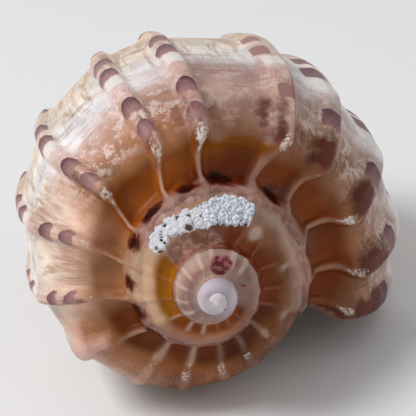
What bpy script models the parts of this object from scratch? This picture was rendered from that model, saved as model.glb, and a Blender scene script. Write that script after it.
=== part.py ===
"""A harp shell, resting on its aperture, with a white crust that has grown on the spire.

The shell is one swept sheet that coils down a spiral. Each whorl starts on the whorl before it, at
the suture, crosses a hollowed ramp to a spined shoulder, and swells round to the base. Old lips stay
on it as ribs. The last whorl is hollow, open at the aperture, and winds on a solid columella.

Lengths are in metres. Whorls are counted in turns: 0 at the outer lip, negative towards the apex.
"""

import math

import bmesh
import bpy
from mathutils import Matrix, Vector, noise

# The coil
SUTURE_RADIUS = 0.0146  # from the axis to the suture, at the outer lip
WHORL_GROWTH = 2.12  # each whorl is this many times the one before it
SPIRE_SLOPE = 0.9675  # depth of the suture below the cone's tip, in suture radii
FIRST_TURN = -4.5  # where the coil starts, under the apex
LIP_AZIMUTH = math.radians(-24.8)
NUCLEUS_RISE = 0.0010  # the smooth first whorls stand this far above the spire's cone
NUCLEUS_RADIUS = 0.0020
SMOOTH_UNTIL = -3.05  # no shoulder and no ribs before this turn
SHOULDERED_FROM = -2.75

# The whorl's profile: distance from the axis and depth below the suture, in suture radii
GUTTER = (1.08, 0.18)
RAMP = (1.31, 0.27)
SHOULDER = (1.55, 0.31)
UPPER_SIDE = (1.80, 0.54)
NEXT_SUTURE = (WHORL_GROWTH, SPIRE_SLOPE * (WHORL_GROWTH - 1))
PROFILE = (
    (1.0, 0.0),
    GUTTER,
    RAMP,
    SHOULDER,
    UPPER_SIDE,
    (1.99, 0.81),
    NEXT_SUTURE,
    (2.15, 1.33),
    (2.18, 1.75),
    (2.165, 2.18),
    (2.09, 2.60),
    (1.97, 3.00),
    (1.76, 3.36),
    (1.48, 3.70),
    (1.14, 4.00),
    (0.76, 4.24),
    (0.38, 4.40),
)
# The same columns on the smooth first whorls, which have no shoulder
ROUND_PROFILE = (
    (1.0, 0.0),
    (1.22, 0.02),
    (1.48, 0.10),
    (1.70, 0.25),
    (1.88, 0.47),
    (2.03, 0.76),
)
RAMP_COLUMN = PROFILE.index(RAMP)
SHOULDER_COLUMN = PROFILE.index(SHOULDER)
SUTURE_COLUMN = PROFILE.index(NEXT_SUTURE)
WALL_COLUMN = SUTURE_COLUMN + 1  # inner edge of the wall that stands on the whorl below
LAST_COLUMN = len(PROFILE) - 1

# Ribs, as degrees before the outer lip. The first one is the lip's own
RIBS = (3.5, 18.5, 38.5, 61, 78, 113.5, 133, 162, 186.5, 213, 240, 265, 285, 305.5, 323, 341.5)
RIB_BACK = 3.8  # degrees from a rib's crest to its foot on the older side
RIB_FRONT = 4.2  # degrees to its foot on the younger side
LONGEST_STEP = 9.0  # the widest stretch between two sections, in degrees
RIB_HEIGHT = (0.0, 0.10, 0.09, 0.13, 0.11, 0.10, 0.09, 0.08, 0.08, 0.08, 0.08, 0.08, 0.07, 0.06, 0.05, 0.03, 0.0)
RIB_LEAN = (0.0, 1.5, 1.5, 0.0, 1.5, 3.0, 4.0, 4.5, 5.0, 5.0, 5.0, 4.5, 4.0, 3.0, 2.0, 1.0, 0.0)
FLATNESS = 0.8  # 1 would make each stretch between two ribs as straight as a chord
LATE_LEAN = 0.9  # how much more the last ribs slant, as a share of the above
SPIRE_RIB_SHARE = 0.5  # glaze softens the ribs on the whorls of the spire
LIP_RIB_SHARE = 0.75  # the last ribs are lower

# The body whorl's inside and the columella
WALL = 0.085  # wall thickness, in suture radii
HOLLOW_TURNS = 0.78  # how far back the hollow reaches from the lip
COLUMELLA = ((-0.0790, 0.0016), (-0.0750, 0.0044), (-0.0660, 0.0058), (-0.0540, 0.0056), (-0.0370, 0.0040), (0.0, 0.0))
COLUMELLA_STEPS = 4
FRONT_REACH = 0.0170  # the front of the last whorl is drawn out this far ahead of the coil's own growth
LIP_DRAWN_IN = 0.06  # how much nearer the axis the last whorl's side comes at the lip
LIP_ROUND = 0.35  # how far the lip's edge bulges, as a share of its thickness
NOTCH_RISE = 0.0060  # height of the notch at the front end
NOTCH_TURNS = 0.10
NOTCH_COLUMNS = (12.0, 14.6, 16.0)  # where it starts, is deepest and ends
CALLUS_TURNS = 0.20  # the glaze spreads this far past the aperture, over the ribs

# The crust on the spire
CRUST_GAP = 0.00035
CRUST_THICKNESS = 0.0007
CRUST_OUTLINE = (  # turn, nearest and furthest column
    (-1.470, 3.2, 3.8),
    (-1.445, 2.8, 4.4),
    (-1.417, 3.1, 4.6),
    (-1.368, 2.6, 4.3),
    (-1.325, 2.4, 4.2),
    (-1.300, 2.6, 4.8),
    (-1.258, 2.5, 5.0),
    (-1.238, 2.8, 4.8),
    (-1.220, 3.1, 4.0),
)
CRUST_STEPS = (28, 7)

# How it rests: turned about its axis, laid down, then its box's underside put on the origin
REST_TURN = math.radians(-9.66)
REST_LIE = math.radians(83.87)


def clamp(value):
    return min(1.0, max(0.0, value))


def smooth(low, high, value):
    share = clamp((value - low) / (high - low))
    return share * share * (3 - 2 * share)


def suture(turn):
    """Radius and height of the suture."""
    radius = SUTURE_RADIUS * WHORL_GROWTH**turn
    rise = NUCLEUS_RISE * math.exp(-((radius / NUCLEUS_RADIUS) ** 2))
    return radius, rise - SPIRE_SLOPE * radius


def at_azimuth(turn, radius, height):
    angle = LIP_AZIMUTH - 2 * math.pi * turn
    return Vector((radius * math.cos(angle), radius * math.sin(angle), height))


def between(table, column):
    """A table's value at a column that may lie between two."""
    low = min(int(column), len(table) - 2)
    share = column - low
    return table[low] * (1 - share) + table[low + 1] * share


def columella_radius(height):
    """The columella is rounded at the front, and tapers away into the spire."""
    for (low, low_radius), (high, high_radius) in zip(COLUMELLA, COLUMELLA[1:]):
        if height <= high:
            share = clamp((height - low) / (high - low))
            return low_radius + (high_radius - low_radius) * share
    return 0.0


def rib_lean(turn, column):
    """How far the ribs slant back below the shoulder, in turns. On the spire they stand straight."""
    late = smooth(-0.36, -0.12, turn) * (1 - smooth(-0.08, 0.0, turn))
    return between(RIB_LEAN, column) / 360 * smooth(-1.0, -0.8, turn) * (1 + LATE_LEAN * late)


def front_reach(turn, column):
    """The last whorl's lower half runs further forward than the coil, most of all halfway round."""
    along = smooth(-1.0, -0.45, turn) * (1 - smooth(-0.45, 0.1, turn))
    widest = SUTURE_COLUMN + 2
    return FRONT_REACH * along * clamp((column - widest) / (LAST_COLUMN - widest))


def profile_at(turn, column):
    """Radius and height of the bare whorl, with no ribs on it."""
    radius, height = suture(turn)
    low = min(int(column), LAST_COLUMN - 1)
    share = column - low
    out = PROFILE[low][0] * (1 - share) + PROFILE[low + 1][0] * share
    down = PROFILE[low][1] * (1 - share) + PROFILE[low + 1][1] * share
    if column < SUTURE_COLUMN and turn < SHOULDERED_FROM:
        plain = smooth(SHOULDERED_FROM, SMOOTH_UNTIL, turn)
        rounds = ROUND_PROFILE + (NEXT_SUTURE,)
        round_out = rounds[low][0] * (1 - share) + rounds[low + 1][0] * share
        round_down = rounds[low][1] * (1 - share) + rounds[low + 1][1] * share
        out += (round_out - out) * plain
        down += (round_down - down) * plain
    out -= LIP_DRAWN_IN * smooth(-0.2, 0.0, turn) * smooth(SHOULDER_COLUMN, SUTURE_COLUMN, column)
    if column <= SUTURE_COLUMN:
        next_height = suture(turn + 1)[1]
        return radius * out, height + (next_height - height) * down / NEXT_SUTURE[1]
    below = suture(turn + 1)[1] - radius * (down - NEXT_SUTURE[1]) - front_reach(turn, column)
    base = smooth(LAST_COLUMN - 3, LAST_COLUMN, column)
    return radius * out * (1 - base) + columella_radius(below) * base, below


def outward(turn, column):
    """Radial and upward parts of the profile's outward direction."""
    step = 0.25
    r_before, z_before = profile_at(turn, max(0.0, column - step))
    r_after, z_after = profile_at(turn, min(float(LAST_COLUMN), column + step))
    along = Vector((r_after - r_before, z_after - z_before)).normalized()
    return Vector((-along.y, along.x))


def rib_share(turn):
    """1 on a rib's crest, 0 between ribs."""
    before_lip = (-turn * 360) % 360
    best = 0.0
    for rib in RIBS:
        past = (before_lip - rib + 180) % 360 - 180
        if past >= 0:
            best = max(best, 1 - past / RIB_BACK)
        else:
            best = max(best, 1 + past / RIB_FRONT)
    return clamp(best)


def flattening(turn, column):
    """Between two ribs the side is nearly straight, so it lies this share of its radius further in."""
    before_lip = (-turn * 360) % 360
    older = min((rib for rib in RIBS if rib >= before_lip), default=RIBS[0] + 360)
    younger = max((rib for rib in RIBS if rib < before_lip), default=RIBS[-1] - 360)
    across = 2 * (before_lip - younger) / (older - younger) - 1
    sag = 1 - math.cos(math.radians(older - younger) / 2)
    side = smooth(RAMP_COLUMN, SHOULDER_COLUMN, column) * (1 - smooth(LAST_COLUMN - 5, LAST_COLUMN, column))
    return FLATNESS * sag * (1 - across**2) * side * rib_strength(turn, column)


def rib_strength(turn, column):
    """Full ribs on the body whorl, soft ones on the spire, none under the glaze or on the nucleus."""
    strength = SPIRE_RIB_SHARE + (1 - SPIRE_RIB_SHARE) * smooth(-1.0, -0.65, turn)
    strength *= 1 - (1 - LIP_RIB_SHARE) * smooth(-0.36, -0.12, turn)
    strength *= smooth(SMOOTH_UNTIL, SHOULDERED_FROM, turn)
    if column > SUTURE_COLUMN:
        strength *= smooth(-1.0, -1.0 + CALLUS_TURNS, turn)
    return strength


def notch_rise(turn, column):
    """How far the front margin is lifted at the siphonal notch."""
    start, deepest, end = NOTCH_COLUMNS
    across = smooth(start, deepest, column) * (1 - smooth(deepest, end, column))
    return NOTCH_RISE * across * smooth(-NOTCH_TURNS, 0.0, turn)


def skin(turn, column):
    """A point of the shell's outer surface."""
    if column == 0:
        if turn - 1 < FIRST_TURN:
            return Vector((0.0, 0.0, NUCLEUS_RISE))
        return skin(turn - 1, SUTURE_COLUMN)
    radius, height = profile_at(turn, column)
    size = SUTURE_RADIUS * WHORL_GROWTH**turn
    lift = rib_share(turn) * rib_strength(turn, column) * between(RIB_HEIGHT, column) * size
    push = outward(turn, column) * lift
    push.x -= radius * flattening(turn, column)
    height += push.y + notch_rise(turn, column)
    return at_azimuth(turn - rib_lean(turn, column), radius + push.x, height)


def inner_wall(turn, column):
    """A point of the hollow's outer side, one wall thickness inside the skin."""
    if column == 0:
        return skin(turn - 1, WALL_COLUMN)
    size = SUTURE_RADIUS * WHORL_GROWTH**turn
    radius, height = profile_at(turn, column)
    push = outward(turn, column) * -WALL * size
    if column == LAST_COLUMN:
        push = Vector((0.0, 2 * WALL * size))
    push.x -= radius * flattening(turn, column)
    height += push.y + notch_rise(turn, column)
    return at_azimuth(turn - rib_lean(turn, column), radius + push.x, height)


def columella(turn, step):
    """A point of the pillar, from the end of the whorl above it, one turn back, to its foot."""
    top = skin(turn - 1, LAST_COLUMN)
    foot = inner_wall(turn, LAST_COLUMN) if turn <= 0 else skin(0, LAST_COLUMN)
    share = step / COLUMELLA_STEPS
    if step in (0, COLUMELLA_STEPS):
        return foot if step else top
    height = top.z + (foot.z - top.z) * share
    return at_azimuth(turn, columella_radius(height), height)


def sections():
    """Where one turn is cut: at each rib's two feet and crest, and between ribs, as turns up to 0."""
    cuts = {0.0, 360.0}
    for rib in RIBS:
        cuts |= {rib, rib + RIB_BACK, max(0.0, rib - RIB_FRONT)}
    cuts = sorted(cuts)
    for low, high in zip(cuts, cuts[1:]):
        pieces = math.ceil((high - low) / LONGEST_STEP)
        cuts += [low + (high - low) * k / pieces for k in range(1, pieces)]
    return [-cut / 360 for cut in sorted(cuts, reverse=True)]


def turns_from(first, last):
    """Every section from one turn to another, the same places on each whorl."""
    found = set()
    for whorl in range(math.floor(first), math.ceil(last) + 1):
        found |= {round(whorl + cut, 9) for cut in sections()}
    return sorted(turn for turn in found if first <= turn <= last)


def patch(mesh, rows, columns, place):
    """A grid of faces whose corners place(row, column) puts where they belong."""
    made = bmesh.ops.create_grid(
        mesh, x_segments=len(rows) - 1, y_segments=len(columns) - 1, size=1.0
    )
    for vert in made["verts"]:
        row = round((vert.co.x + 1) / 2 * (len(rows) - 1))
        column = round((vert.co.y + 1) / 2 * (len(columns) - 1))
        vert.co = place(rows[row], columns[column])


def lip_edge(share, column):
    """The rounded edge that joins the skin to the inner wall at the aperture."""
    outer, inner = skin(0.0, column), inner_wall(0.0, column)
    if share in (0, 1) or column in (0, LAST_COLUMN):
        return inner if share == 1 else outer
    forward = (outer - skin(-0.004, column)).normalized()
    return outer.lerp(inner, share) + forward * (outer - inner).length * LIP_ROUND


def lay_down(pieces):
    """Lays the pieces on the lip and the belly and puts the middle of their underside at the origin."""
    laid = Matrix.Rotation(REST_LIE, 4, "X") @ Matrix.Rotation(REST_TURN, 4, "Z")
    for piece in pieces:
        piece.data.transform(laid)
    corners = [vert.co for piece in pieces for vert in piece.data.vertices]
    low = [min(corner[axis] for corner in corners) for axis in range(3)]
    high = [max(corner[axis] for corner in corners) for axis in range(3)]
    middle = Vector(((low[0] + high[0]) / 2, (low[1] + high[1]) / 2, low[2]))
    for piece in pieces:
        piece.data.transform(Matrix.Translation(-middle))


def material(name, colour, roughness):
    made = bpy.data.materials.new(name)
    made.use_nodes = True
    shader = made.node_tree.nodes["Principled BSDF"]
    shader.inputs["Base Color"].default_value = (*colour, 1.0)
    shader.inputs["Roughness"].default_value = roughness
    shader.inputs["Metallic"].default_value = 0.0
    return made


def solid(name, mesh, finish, collection):
    """Welds a bmesh's patches into one closed body and makes it an object."""
    bmesh.ops.remove_doubles(mesh, verts=mesh.verts, dist=1e-6)
    bmesh.ops.recalc_face_normals(mesh, faces=mesh.faces)
    bmesh.ops.triangulate(mesh, faces=mesh.faces)
    data = bpy.data.meshes.new(name)
    mesh.to_mesh(data)
    mesh.free()
    data.materials.append(finish)
    made = bpy.data.objects.new(name, data)
    collection.objects.link(made)
    return made


def make_shell(collection):
    mesh = bmesh.new()
    hollow_end = min(turns_from(-HOLLOW_TURNS, 0), key=lambda turn: turn)
    upper = range(SUTURE_COLUMN + 1)
    lower = range(SUTURE_COLUMN, LAST_COLUMN + 1)
    inside = range(WALL_COLUMN, LAST_COLUMN + 1)
    whole = range(LAST_COLUMN + 1)
    steps = range(COLUMELLA_STEPS + 1)
    hollow = turns_from(hollow_end, 0)
    patch(mesh, turns_from(FIRST_TURN, 0), upper, skin)
    patch(mesh, turns_from(-1, 0), lower, skin)
    patch(mesh, turns_from(hollow_end - 1, -1), inside, skin)
    patch(mesh, hollow, whole, inner_wall)
    patch(mesh, hollow, steps, columella)
    patch(mesh, turns_from(0, 1), steps, columella)
    patch(mesh, (0, 0.5, 1), whole, lip_edge)
    bmesh.ops.remove_doubles(mesh, verts=mesh.verts, dist=1e-6)
    rim = [edge for edge in mesh.edges if edge.is_boundary]
    bmesh.ops.triangle_fill(mesh, edges=rim, use_beauty=True)
    finish = material("shell_glaze", (0.72, 0.45, 0.29), 0.35)
    return solid("shell", mesh, finish, collection)


def crust_edges(share):
    """Turn, nearest and furthest column at a share of the crust's length."""
    place = share * (len(CRUST_OUTLINE) - 1)
    low = min(int(place), len(CRUST_OUTLINE) - 2)
    return [
        near + (far - near) * (place - low)
        for near, far in zip(CRUST_OUTLINE[low], CRUST_OUTLINE[low + 1])
    ]


def make_crust(collection):
    """A lumpy plate over the shoulder of the whorl before the last."""
    mesh = bmesh.new()
    long_way, short_way = CRUST_STEPS

    def over_skin(row, column, thickness):
        turn, near, far = crust_edges(row / long_way)
        place_column = near + (far - near) * column / short_way
        point = skin(turn, place_column)
        along = skin(turn + 0.004, place_column) - skin(turn - 0.004, place_column)
        across = skin(turn, place_column + 0.1) - skin(turn, place_column - 0.1)
        lumps = 0.8 + 0.4 * noise.noise(point * 1100)
        return point + along.cross(across).normalized() * (CRUST_GAP + thickness * lumps)

    def underside(row, column):
        return over_skin(row, column, 0.0)

    def top(row, column):
        return over_skin(row, column, CRUST_THICKNESS)

    rows, columns = range(long_way + 1), range(short_way + 1)
    patch(mesh, rows, columns, underside)
    patch(mesh, rows, columns, top)
    bmesh.ops.bridge_loops(mesh, edges=[edge for edge in mesh.edges if edge.is_boundary])
    finish = material("crust_lime", (0.80, 0.81, 0.83), 0.8)
    return solid("white_crust", mesh, finish, collection)


def main():
    for old in list(bpy.data.objects):
        bpy.data.objects.remove(old)
    collection = bpy.data.collections.new("harp_shell")
    bpy.context.scene.collection.children.link(collection)
    lay_down([make_shell(collection), make_crust(collection)])


main()
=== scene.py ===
import math

import bmesh
import bpy
import numpy as np
from mathutils import Matrix, Vector, noise


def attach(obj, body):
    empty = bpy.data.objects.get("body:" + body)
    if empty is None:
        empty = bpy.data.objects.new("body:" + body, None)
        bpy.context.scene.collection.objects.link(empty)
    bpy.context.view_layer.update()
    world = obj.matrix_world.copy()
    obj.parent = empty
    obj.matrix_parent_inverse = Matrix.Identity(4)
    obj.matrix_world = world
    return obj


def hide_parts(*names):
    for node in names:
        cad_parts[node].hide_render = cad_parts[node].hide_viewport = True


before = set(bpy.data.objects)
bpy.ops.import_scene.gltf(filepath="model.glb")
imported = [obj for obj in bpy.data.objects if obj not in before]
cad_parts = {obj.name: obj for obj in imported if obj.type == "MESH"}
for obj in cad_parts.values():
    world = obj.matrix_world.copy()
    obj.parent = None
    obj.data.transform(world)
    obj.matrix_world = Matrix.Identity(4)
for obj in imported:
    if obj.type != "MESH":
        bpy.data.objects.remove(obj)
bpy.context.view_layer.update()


# Turns: 0 at the outer lip, negative towards the tip. Columns: 0 on the suture, 3 on the shoulder,
# 6 where the next whorl covers this one, 16 at the front end. Lengths are metres.
coil = {
    "sutureRadius": 0.0146,  # at the lip
    "growth": 2.12,  # how much wider a whorl is than the one before it
    "slope": 0.9675,  # how far the suture drops for each metre that it widens
    "firstTurn": -4.5,
    "lipAzimuth": math.radians(-24.8),
    "nucleusRise": 0.0010,
    "nucleusRadius": 0.0020,
    "frontReach": 0.0170,  # how far the front end is drawn out
    "frontNotch": 0.0060,
    "lipDrawnIn": 0.06,
    "flatness": 0.8,  # how straight the side is between two ribs
    "wall": 0.085,  # in suture radii
    "rampWall": 0.20,  # what the wall is thicker by under the ramp
    "rimBulge": 0.45,
    "hollowTurns": 0.78,
    "lieTurn": math.radians(-9.66),
    "lieOver": math.radians(83.87),
    "tipAt": (-0.00468, -0.03915, 0.02008),  # the coil's origin, in the frame
}
nextDown = coil["slope"] * (coil["growth"] - 1)
covered = 6  # the column where the next whorl covers this one
profile = np.array([
    (1.0, 0.0), (1.08, 0.18), (1.31, 0.27), (1.55, 0.31), (1.80, 0.54), (1.99, 0.81),
    (coil["growth"], nextDown), (2.15, 1.33), (2.18, 1.75), (2.165, 2.18), (2.09, 2.60),
    (1.97, 3.00), (1.76, 3.36), (1.48, 3.70), (1.14, 4.00), (0.76, 4.24), (0.38, 4.40),
])
roundProfile = np.array([
    (1.0, 0.0), (1.22, 0.02), (1.48, 0.10), (1.70, 0.25), (1.88, 0.47), (2.03, 0.76),
    (coil["growth"], nextDown),
])
lastColumn = len(profile) - 1
# For each column: how high a rib stands there, in suture radii, and how far it leans ahead, in degrees
ribHeight = np.array([
    0, 0.055, 0.05, 0.12, 0.11, 0.10, 0.09, 0.08, 0.08, 0.08, 0.08, 0.08, 0.07, 0.06, 0.05, 0.03, 0,
])
ribLean = np.array([0, 1.5, 1.5, 0, 1.5, 3, 4, 4.5, 5, 5, 5, 4.5, 4, 3, 2, 1, 0])
# The columella: height, radius
pillar = np.array([
    (-0.079, 0.0016), (-0.075, 0.0044), (-0.066, 0.0058), (-0.054, 0.0056), (-0.037, 0.0040), (0, 0),
])

# One rib a line: degrees before the lip, height, foot on the older side, foot on the younger side,
# bend at the suture, climb onto the whorl before, width on the ramp, spine, bars, rust,
# chalk, and the columns where the chalk starts and ends
ribs = (
    (3.5, 0.8, 6.5, 3.0, -2.0, 0.8, 1.1, 0.5, 1.0, 1.3, 0.55, 2.4, 2.9),
    (18.5, 1.0, 7.0, 3.6, -3.0, 0.9, 1.1, 0.6, 1.0, 1.0, 0.6, 2.5, 3.05),
    (38.5, 1.0, 7.5, 3.6, 1.0, 0.9, 1.1, 0.6, 1.0, 1.0, 0.6, 2.5, 3.05),
    (61.0, 1.1, 7.5, 3.6, -4.5, 1.0, 1.1, 0.5, 1.0, 1.0, 0.2, 2.5, 3.2),
    (79.3, 1.2, 9.0, 3.4, 4.0, 1.1, 2.2, 1.3, 0.9, 0.62, 0.6, 2.75, 3.15),
    (113.5, 1.05, 4.8, 5.2, -1.0, 0.4, 1.1, 1.0, 1.0, 0.45, 0.75, 2.2, 3.1),
    (133.0, 1.1, 4.8, 4.8, 4.5, 0.6, 0.9, 0.6, 1.0, 0.6, 0.65, 2.3, 3.1),
    (162.0, 1.15, 4.6, 4.6, 5.0, 0.8, 0.9, 0.4, 1.0, 0.5, 0.6, 2.3, 3.0),
    (186.5, 1.15, 4.4, 4.4, 3.0, 0.5, 0.9, 0.4, 1.0, 0.5, 0.4, 2.3, 3.0),
    (213.0, 1.15, 4.2, 4.4, 3.0, 0.6, 0.9, 0.4, 0.95, 0.4, 0.4, 2.3, 3.0),
    (240.0, 1.2, 4.5, 8.0, 4.0, 0.4, 1.6, 0.3, 0.0, 0.3, 0.25, 2.4, 4.0),
    (265.0, 0.45, 3.6, 4.0, -1.0, 0.5, 2.8, 0.3, 0.0, 0.0, 0.35, 2.4, 3.6),
    (285.0, 0.4, 3.4, 3.8, 0.0, 0.5, 2.6, 0.3, 0.0, 0.0, 0.45, 2.3, 3.7),
    (305.5, 0.35, 3.4, 3.4, 0.0, 0.3, 2.6, 0.3, 0.0, 0.0, 0.55, 2.6, 3.7),
    (323.0, 0.3, 3.2, 3.2, 0.0, 0.3, 2.2, 0.3, 0.0, 0.0, 0.4, 2.8, 3.5),
    (341.5, 0.25, 3.2, 3.2, 0.0, 0.2, 2.0, 0.2, 0.0, 0.0, 0.3, 2.8, 3.2),
)
# The pits at the suture, dark red with painted shade in them: degrees before the lip, half width, column, half
# height, how dark
shadedPits = (
    (31.4, 3.5, 0.6, 0.3, 0.7), (68.5, 6.0, 0.85, 0.45, 1.1), (101.0, 10.0, 0.8, 0.4, 0.85),
    (123.5, 6.0, 0.62, 0.26, 1.1), (150.5, 8.0, 0.5, 0.24, 1.05), (173.5, 5.5, 0.45, 0.34, 1.05),
    (202.5, 5.5, 0.34, 0.26, 0.85), (225.5, 7.0, 0.45, 0.34, 1.05), (249.0, 7.5, 0.55, 0.36, 1.0),
    (274.0, 5.5, 0.6, 0.26, 1.0), (293.6, 4.0, 0.55, 0.24, 0.8), (350.0, 4.0, 0.45, 0.35, 0.9),
    (366.5, 6.0, 0.45, 0.4, 1.0), (429.5, 5.0, 0.5, 0.35, 1.0), (447.0, 4.0, 0.45, 0.35, 0.8),
)
relief = {
    "cupDepth": 0.065,  # how deep the ramp is scooped between two ribs
    "pitDepth": 0.012,  # how much deeper the pit at the suture is
    "lateCup": 0.6,  # the scoops of the last ribs, as a share of that
    "seatHigh": 0.95,  # how far up the whorl before it the suture sits, in columns
    "leftSeat": 0.9,  # how much further up it sits on the left
    "pitSlide": 0.35,  # how far down from there a pit reaches
    "seam": 0.035,  # how thick the last layer lies on the whorl before it
    "spineHeight": 0.07,
    "spineAt": 2.85,  # its column
    "spireShare": 0.35,
    "lipShare": 0.75,
    "ribReach": 40,  # degrees from its middle where a rib may still show
    "ribCrown": 0.36,  # the flat top of a rib, as a share of its foot
    "lateRibs": 100,  # ribs nearer the lip than this have their bars on the older side
    "wornRibs": 70,  # of those, the ones further from the lip than this have pale bars
    "wornShare": 0.55,
}
# The dark bars on the ribs: the columns where each starts and ends
bars = ((3.3, 3.95), (4.3, 5.05), (7.1, 7.9), (8.2, 8.9), (10.2, 11.0), (11.5, 12.2))
barShape = {
    "halfWide": 3.4,  # degrees
    "wornHalfWide": 1.6,  # what a pale bar is narrower by, for each unit of its wear
    "shift": (1.4, 4.2),  # how far a late bar lies to the older side, above and below column 6
    "fadeIn": 0.4,  # columns
    "fadeOut": 0.12,
}


def ease(low, high, value):
    share = np.clip((value - low) / (high - low), 0.0, 1.0)
    return share * share * (3 - 2 * share)


def curveAt(points, column):
    # a smooth curve through the rows of a table, at any place between them
    last = len(points) - 1
    low = np.clip(np.floor(column).astype(int), 0, last - 1)
    share = column - low
    if points.ndim == 2:
        share = share[:, None]
    before, here = points[np.maximum(low - 1, 0)], points[low]
    there, after = points[low + 1], points[np.minimum(low + 2, last)]
    bend = 2 * before - 5 * here + 4 * there - after + share * (3 * (here - there) + after - before)
    return here + 0.5 * share * (there - before + share * bend)


def sutureAt(turn):
    radius = coil["sutureRadius"] * coil["growth"] ** turn
    rise = coil["nucleusRise"] * np.exp(-((radius / coil["nucleusRadius"]) ** 2))
    return radius, rise - coil["slope"] * radius


def pillarRadius(height):
    return np.interp(height, pillar[:, 0], pillar[:, 1])


def leanAt(turn, column):
    late = ease(-0.36, -0.12, turn) * (1 - ease(-0.08, 0.0, turn))
    return curveAt(ribLean, column) / 360 * ease(-1.0, -0.8, turn) * (1 + 0.9 * late)


def profileAt(turn, column):
    # radius and height of the bare whorl
    radius, height = sutureAt(turn)
    across = curveAt(profile, column)
    out, down = across[:, 0], across[:, 1]
    plain = ease(-2.75, -3.05, turn) * (column < covered)
    rounded = curveAt(roundProfile, np.minimum(column, covered))
    out = out + (rounded[:, 0] - out) * plain
    down = down + (rounded[:, 1] - down) * plain
    out = out - coil["lipDrawnIn"] * ease(-0.2, 0.0, turn) * ease(3, 6, column)
    nextHeight = sutureAt(turn + 1)[1]
    above = height + (nextHeight - height) * down / nextDown
    reach = ease(-1.0, -0.45, turn) * (1 - ease(-0.45, 0.1, turn)) * np.clip((column - 8) / 8, 0, 1)
    below = nextHeight - radius * (down - nextDown) - coil["frontReach"] * reach
    base = ease(lastColumn - 3, lastColumn, column)
    lower = radius * out * (1 - base) + pillarRadius(below) * base
    upper = column <= covered
    return np.where(upper, radius * out, lower), np.where(upper, above, below)


def outwardAt(turn, column):
    step = 0.2
    r0, z0 = profileAt(turn, np.maximum(column - step, 0))
    r1, z1 = profileAt(turn, np.minimum(column + step, lastColumn))
    length = np.hypot(r1 - r0, z1 - z0) + 1e-12
    return -(z1 - z0) / length, (r1 - r0) / length


def strengthAt(turn, column):
    # how strong the ribs are: weak on the spire, none on the tip
    strength = relief["spireShare"] + (1 - relief["spireShare"]) * ease(-1.0, -0.72, turn)
    strength = strength * (1 - (1 - relief["lipShare"]) * ease(-0.36, -0.12, turn))
    strength = strength * ease(-3.05, -2.75, turn)
    return np.where(column > covered, strength * ease(-1.0, -0.8, turn), strength)


def flatteningAt(turn, column):
    # between two ribs the side is nearly straight
    beforeLip = np.mod(-turn * 360, 360)
    places = np.array([ribs[-1][0] - 360] + [rib[0] for rib in ribs] + [ribs[0][0] + 360])
    older = places[np.clip(np.searchsorted(places, beforeLip), 1, len(places) - 1)]
    younger = places[np.clip(np.searchsorted(places, beforeLip) - 1, 0, len(places) - 2)]
    across = 2 * (beforeLip - younger) / (older - younger) - 1
    sag = 1 - np.cos(np.radians(older - younger) / 2)
    side = ease(2, 3, column) * (1 - ease(lastColumn - 5, lastColumn, column))
    flat = coil["flatness"] * sag * (1 - across**2) * side * strengthAt(turn, column)
    return flat * ease(-1.06, -0.94, turn)


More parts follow.
